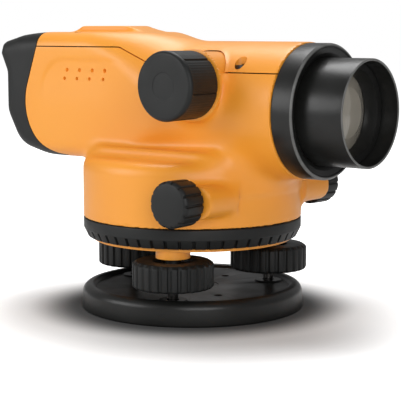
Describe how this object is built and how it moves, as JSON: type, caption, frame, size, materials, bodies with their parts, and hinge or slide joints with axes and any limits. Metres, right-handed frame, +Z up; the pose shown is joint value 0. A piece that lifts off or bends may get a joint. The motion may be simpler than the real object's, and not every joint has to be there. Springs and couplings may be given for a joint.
{
  "type": "automatic level",
  "caption": "Orange and black surveying level with a telescope on a turning bowl, a notched circle, a three-screw tribrach and a round base plate.",
  "frame": {"origin": "centre of the tripod thread at the base plate's underside, on the vertical axis", "axes": "+Z up along the vertical axis, +X from the eyepiece towards the objective, -Y the side with the focusing knob"},
  "size_m": [0.2185, 0.128, 0.1412],
  "materials": {
    "orange_paint": "satin orange paint",
    "black_moulding": "satin moulded black",
    "black_paint": "semi-gloss black",
    "brass": "turned",
    "steel": "turned",
    "aluminium": "machined",
    "glass": "coated",
    "mirror_face": "polished"
  },
  "bodies": {
    "base": {"base_plate": "black_paint", "tripod_bush": "brass", "spring_plate": "steel", "spring_plate_screws": "steel", "foot_pad_1": "steel"},
    "pad_carrier_3": {"foot_pad_3": "steel"},
    "pad_carrier_2": {"foot_pad_2": "steel"},
    "tribrach": {"tribrach_plate": "orange_paint", "foot_screw_bushes": "brass", "axis_sleeve": "steel", "clutch_spring": "brass"},
    "circle": {"horizontal_circle": "black_moulding"},
    "clutch": {"worm_wheel": "brass"},
    "alidade": {"lower_housing": "orange_paint", "top_cover": "orange_paint", "rear_cover": "black_moulding", "cover_screws": "steel", "axis_spindle": "steel", "spindle_nut": "steel", "tangent_bushes": "brass", "focus_bush": "brass", "telescope_tube": "black_paint", "objective_front_lens": "glass", "objective_rear_lens": "glass", "objective_retainer": "black_paint", "objective_collar": "black_paint", "lens_hood": "black_paint", "compensator_frame": "aluminium", "compensator_prisms": "glass", "damper_magnets": "steel", "reticle_cell": "black_paint", "reticle_glass": "glass", "eyepiece_mount": "black_paint", "bubble_housing": "black_moulding", "bubble_vial": "glass", "bubble_screws": "steel", "mirror_pin": "steel"},
    "tangent": {"tangent_worm": "steel", "tangent_knob_near": "black_moulding", "tangent_knob_far": "black_moulding"},
    "focus": {"focus_knob": "black_moulding", "focus_pinion": "steel"},
    "focusing_carriage": {"focusing_slide": "aluminium", "focusing_lens": "glass"},
    "pendulum": {"pendulum_frame": "aluminium", "pendulum_prism": "glass", "pendulum_wires": "steel"},
    "eyepiece": {"eyepiece_cell": "black_paint", "eyepiece_lenses": "glass"},
    "dioptre_ring": {"eyepiece_ring": "black_moulding"},
    "mirror": {"bubble_mirror": "mirror_face"},
    "foot_1": {"foot_pin_1": "steel"},
    "knob_1": {"foot_knob_1": "black_moulding", "foot_screw_1": "brass"},
    "foot_2": {"foot_pin_2": "steel"},
    "knob_2": {"foot_knob_2": "black_moulding", "foot_screw_2": "brass"},
    "foot_3": {"foot_pin_3": "steel"},
    "knob_3": {"foot_knob_3": "black_moulding", "foot_screw_3": "brass"}
  },
  "joints": [
    {"name": "level_1", "type": "hinge", "parent": "base", "child": "pad_carrier_3", "pos_m": [0.02316, 0.03395, 0.0057], "axis": [-0.9011, -0.4337, 0], "range_deg": [-2.4, 2.4]},
    {"name": "level_3", "type": "hinge", "parent": "pad_carrier_3", "child": "pad_carrier_2", "pos_m": [0.01782, -0.03703, 0.0057], "axis": [0.075, 0.9972, 0], "range_deg": [-2.4, 2.4]},
    {"name": "level_2", "type": "hinge", "parent": "pad_carrier_2", "child": "tribrach", "pos_m": [-0.04098, 0.00308, 0.0057], "axis": [0.8261, -0.5635, 0], "range_deg": [-2.4, 2.4]},
    {"name": "foot_lift_1", "type": "slide", "parent": "tribrach", "child": "foot_1", "axis": [0, 0, -1], "range_m": [-0.0026, 0.0026]},
    {"name": "foot_turn_1", "type": "hinge", "parent": "foot_1", "child": "knob_1", "pos_m": [0.01782, -0.03703, 0.0232], "axis": [0, 0, -1], "range_deg": [-900, 900]},
    {"name": "foot_lift_2", "type": "slide", "parent": "tribrach", "child": "foot_2", "axis": [0, 0, -1], "range_m": [-0.0026, 0.0026]},
    {"name": "foot_turn_2", "type": "hinge", "parent": "foot_2", "child": "knob_2", "pos_m": [0.02316, 0.03395, 0.0232], "axis": [0, 0, -1], "range_deg": [-900, 900]},
    {"name": "foot_lift_3", "type": "slide", "parent": "tribrach", "child": "foot_3", "axis": [0, 0, -1], "range_m": [-0.0026, 0.0026]},
    {"name": "foot_turn_3", "type": "hinge", "parent": "foot_3", "child": "knob_3", "pos_m": [-0.04098, 0.00308, 0.0232], "axis": [0, 0, -1], "range_deg": [-900, 900]},
    {"name": "circle_turn", "type": "hinge", "parent": "tribrach", "child": "circle", "pos_m": [0, 0, 0.0415], "axis": [0, 0, 1], "continuous": true},
    {"name": "azimuth_slip", "type": "hinge", "parent": "tribrach", "child": "clutch", "pos_m": [0, 0, 0.0604], "axis": [0, 0, 1], "continuous": true},
    {"name": "azimuth_fine", "type": "hinge", "parent": "clutch", "child": "alidade", "pos_m": [0, 0, 0.0604], "axis": [0, 0, 1], "continuous": true},
    {"name": "tangent_turn", "type": "hinge", "parent": "alidade", "child": "tangent", "pos_m": [0.0366, 0, 0.0604], "axis": [0, 1, 0], "continuous": true},
    {"name": "focus_turn", "type": "hinge", "parent": "alidade", "child": "focus", "pos_m": [0.0286, -0.04, 0.1137], "axis": [0, 1, 0], "range_deg": [-165, 165]},
    {"name": "focus_travel", "type": "slide", "parent": "alidade", "child": "focusing_carriage", "axis": [1, 0, 0], "range_m": [-0.007, 0.007]},
    {"name": "compensator_swing", "type": "hinge", "parent": "alidade", "child": "pendulum", "pos_m": [-0.032, 0, 0.124], "axis": [0, 1, 0], "range_deg": [-0.5, 0.5]},
    {"name": "eyepiece_travel", "type": "slide", "parent": "alidade", "child": "eyepiece", "axis": [1, 0, 0], "range_m": [-0.00172, 0.00172]},
    {"name": "eyepiece_turn", "type": "hinge", "parent": "eyepiece", "child": "dioptre_ring", "pos_m": [-0.11, 0, 0.1014], "axis": [1, 0, 0], "range_deg": [-150, 150]},
    {"name": "mirror_fold", "type": "hinge", "parent": "alidade", "child": "mirror", "pos_m": [-0.025, 0.046, 0.1282], "axis": [0, 1, 0], "range_deg": [0, 100]}
  ],
  "couplings": [
    {"joint": "level_1", "follows": "foot_turn_1", "ratio": 0.0025816},
    {"joint": "foot_lift_1", "follows": "foot_turn_1", "m_per_rad": 0.00015915},
    {"joint": "level_2", "follows": "foot_turn_2", "ratio": 0.0025816},
    {"joint": "foot_lift_2", "follows": "foot_turn_2", "m_per_rad": 0.00015915},
    {"joint": "level_3", "follows": "foot_turn_3", "ratio": 0.0025816},
    {"joint": "foot_lift_3", "follows": "foot_turn_3", "m_per_rad": 0.00015915},
    {"joint": "azimuth_fine", "follows": "tangent_turn", "ratio": 0.016667},
    {"joint": "focus_travel", "follows": "focus_turn", "m_per_rad": -0.0024},
    {"joint": "eyepiece_travel", "follows": "eyepiece_turn", "m_per_rad": 0.00065}
  ]
}
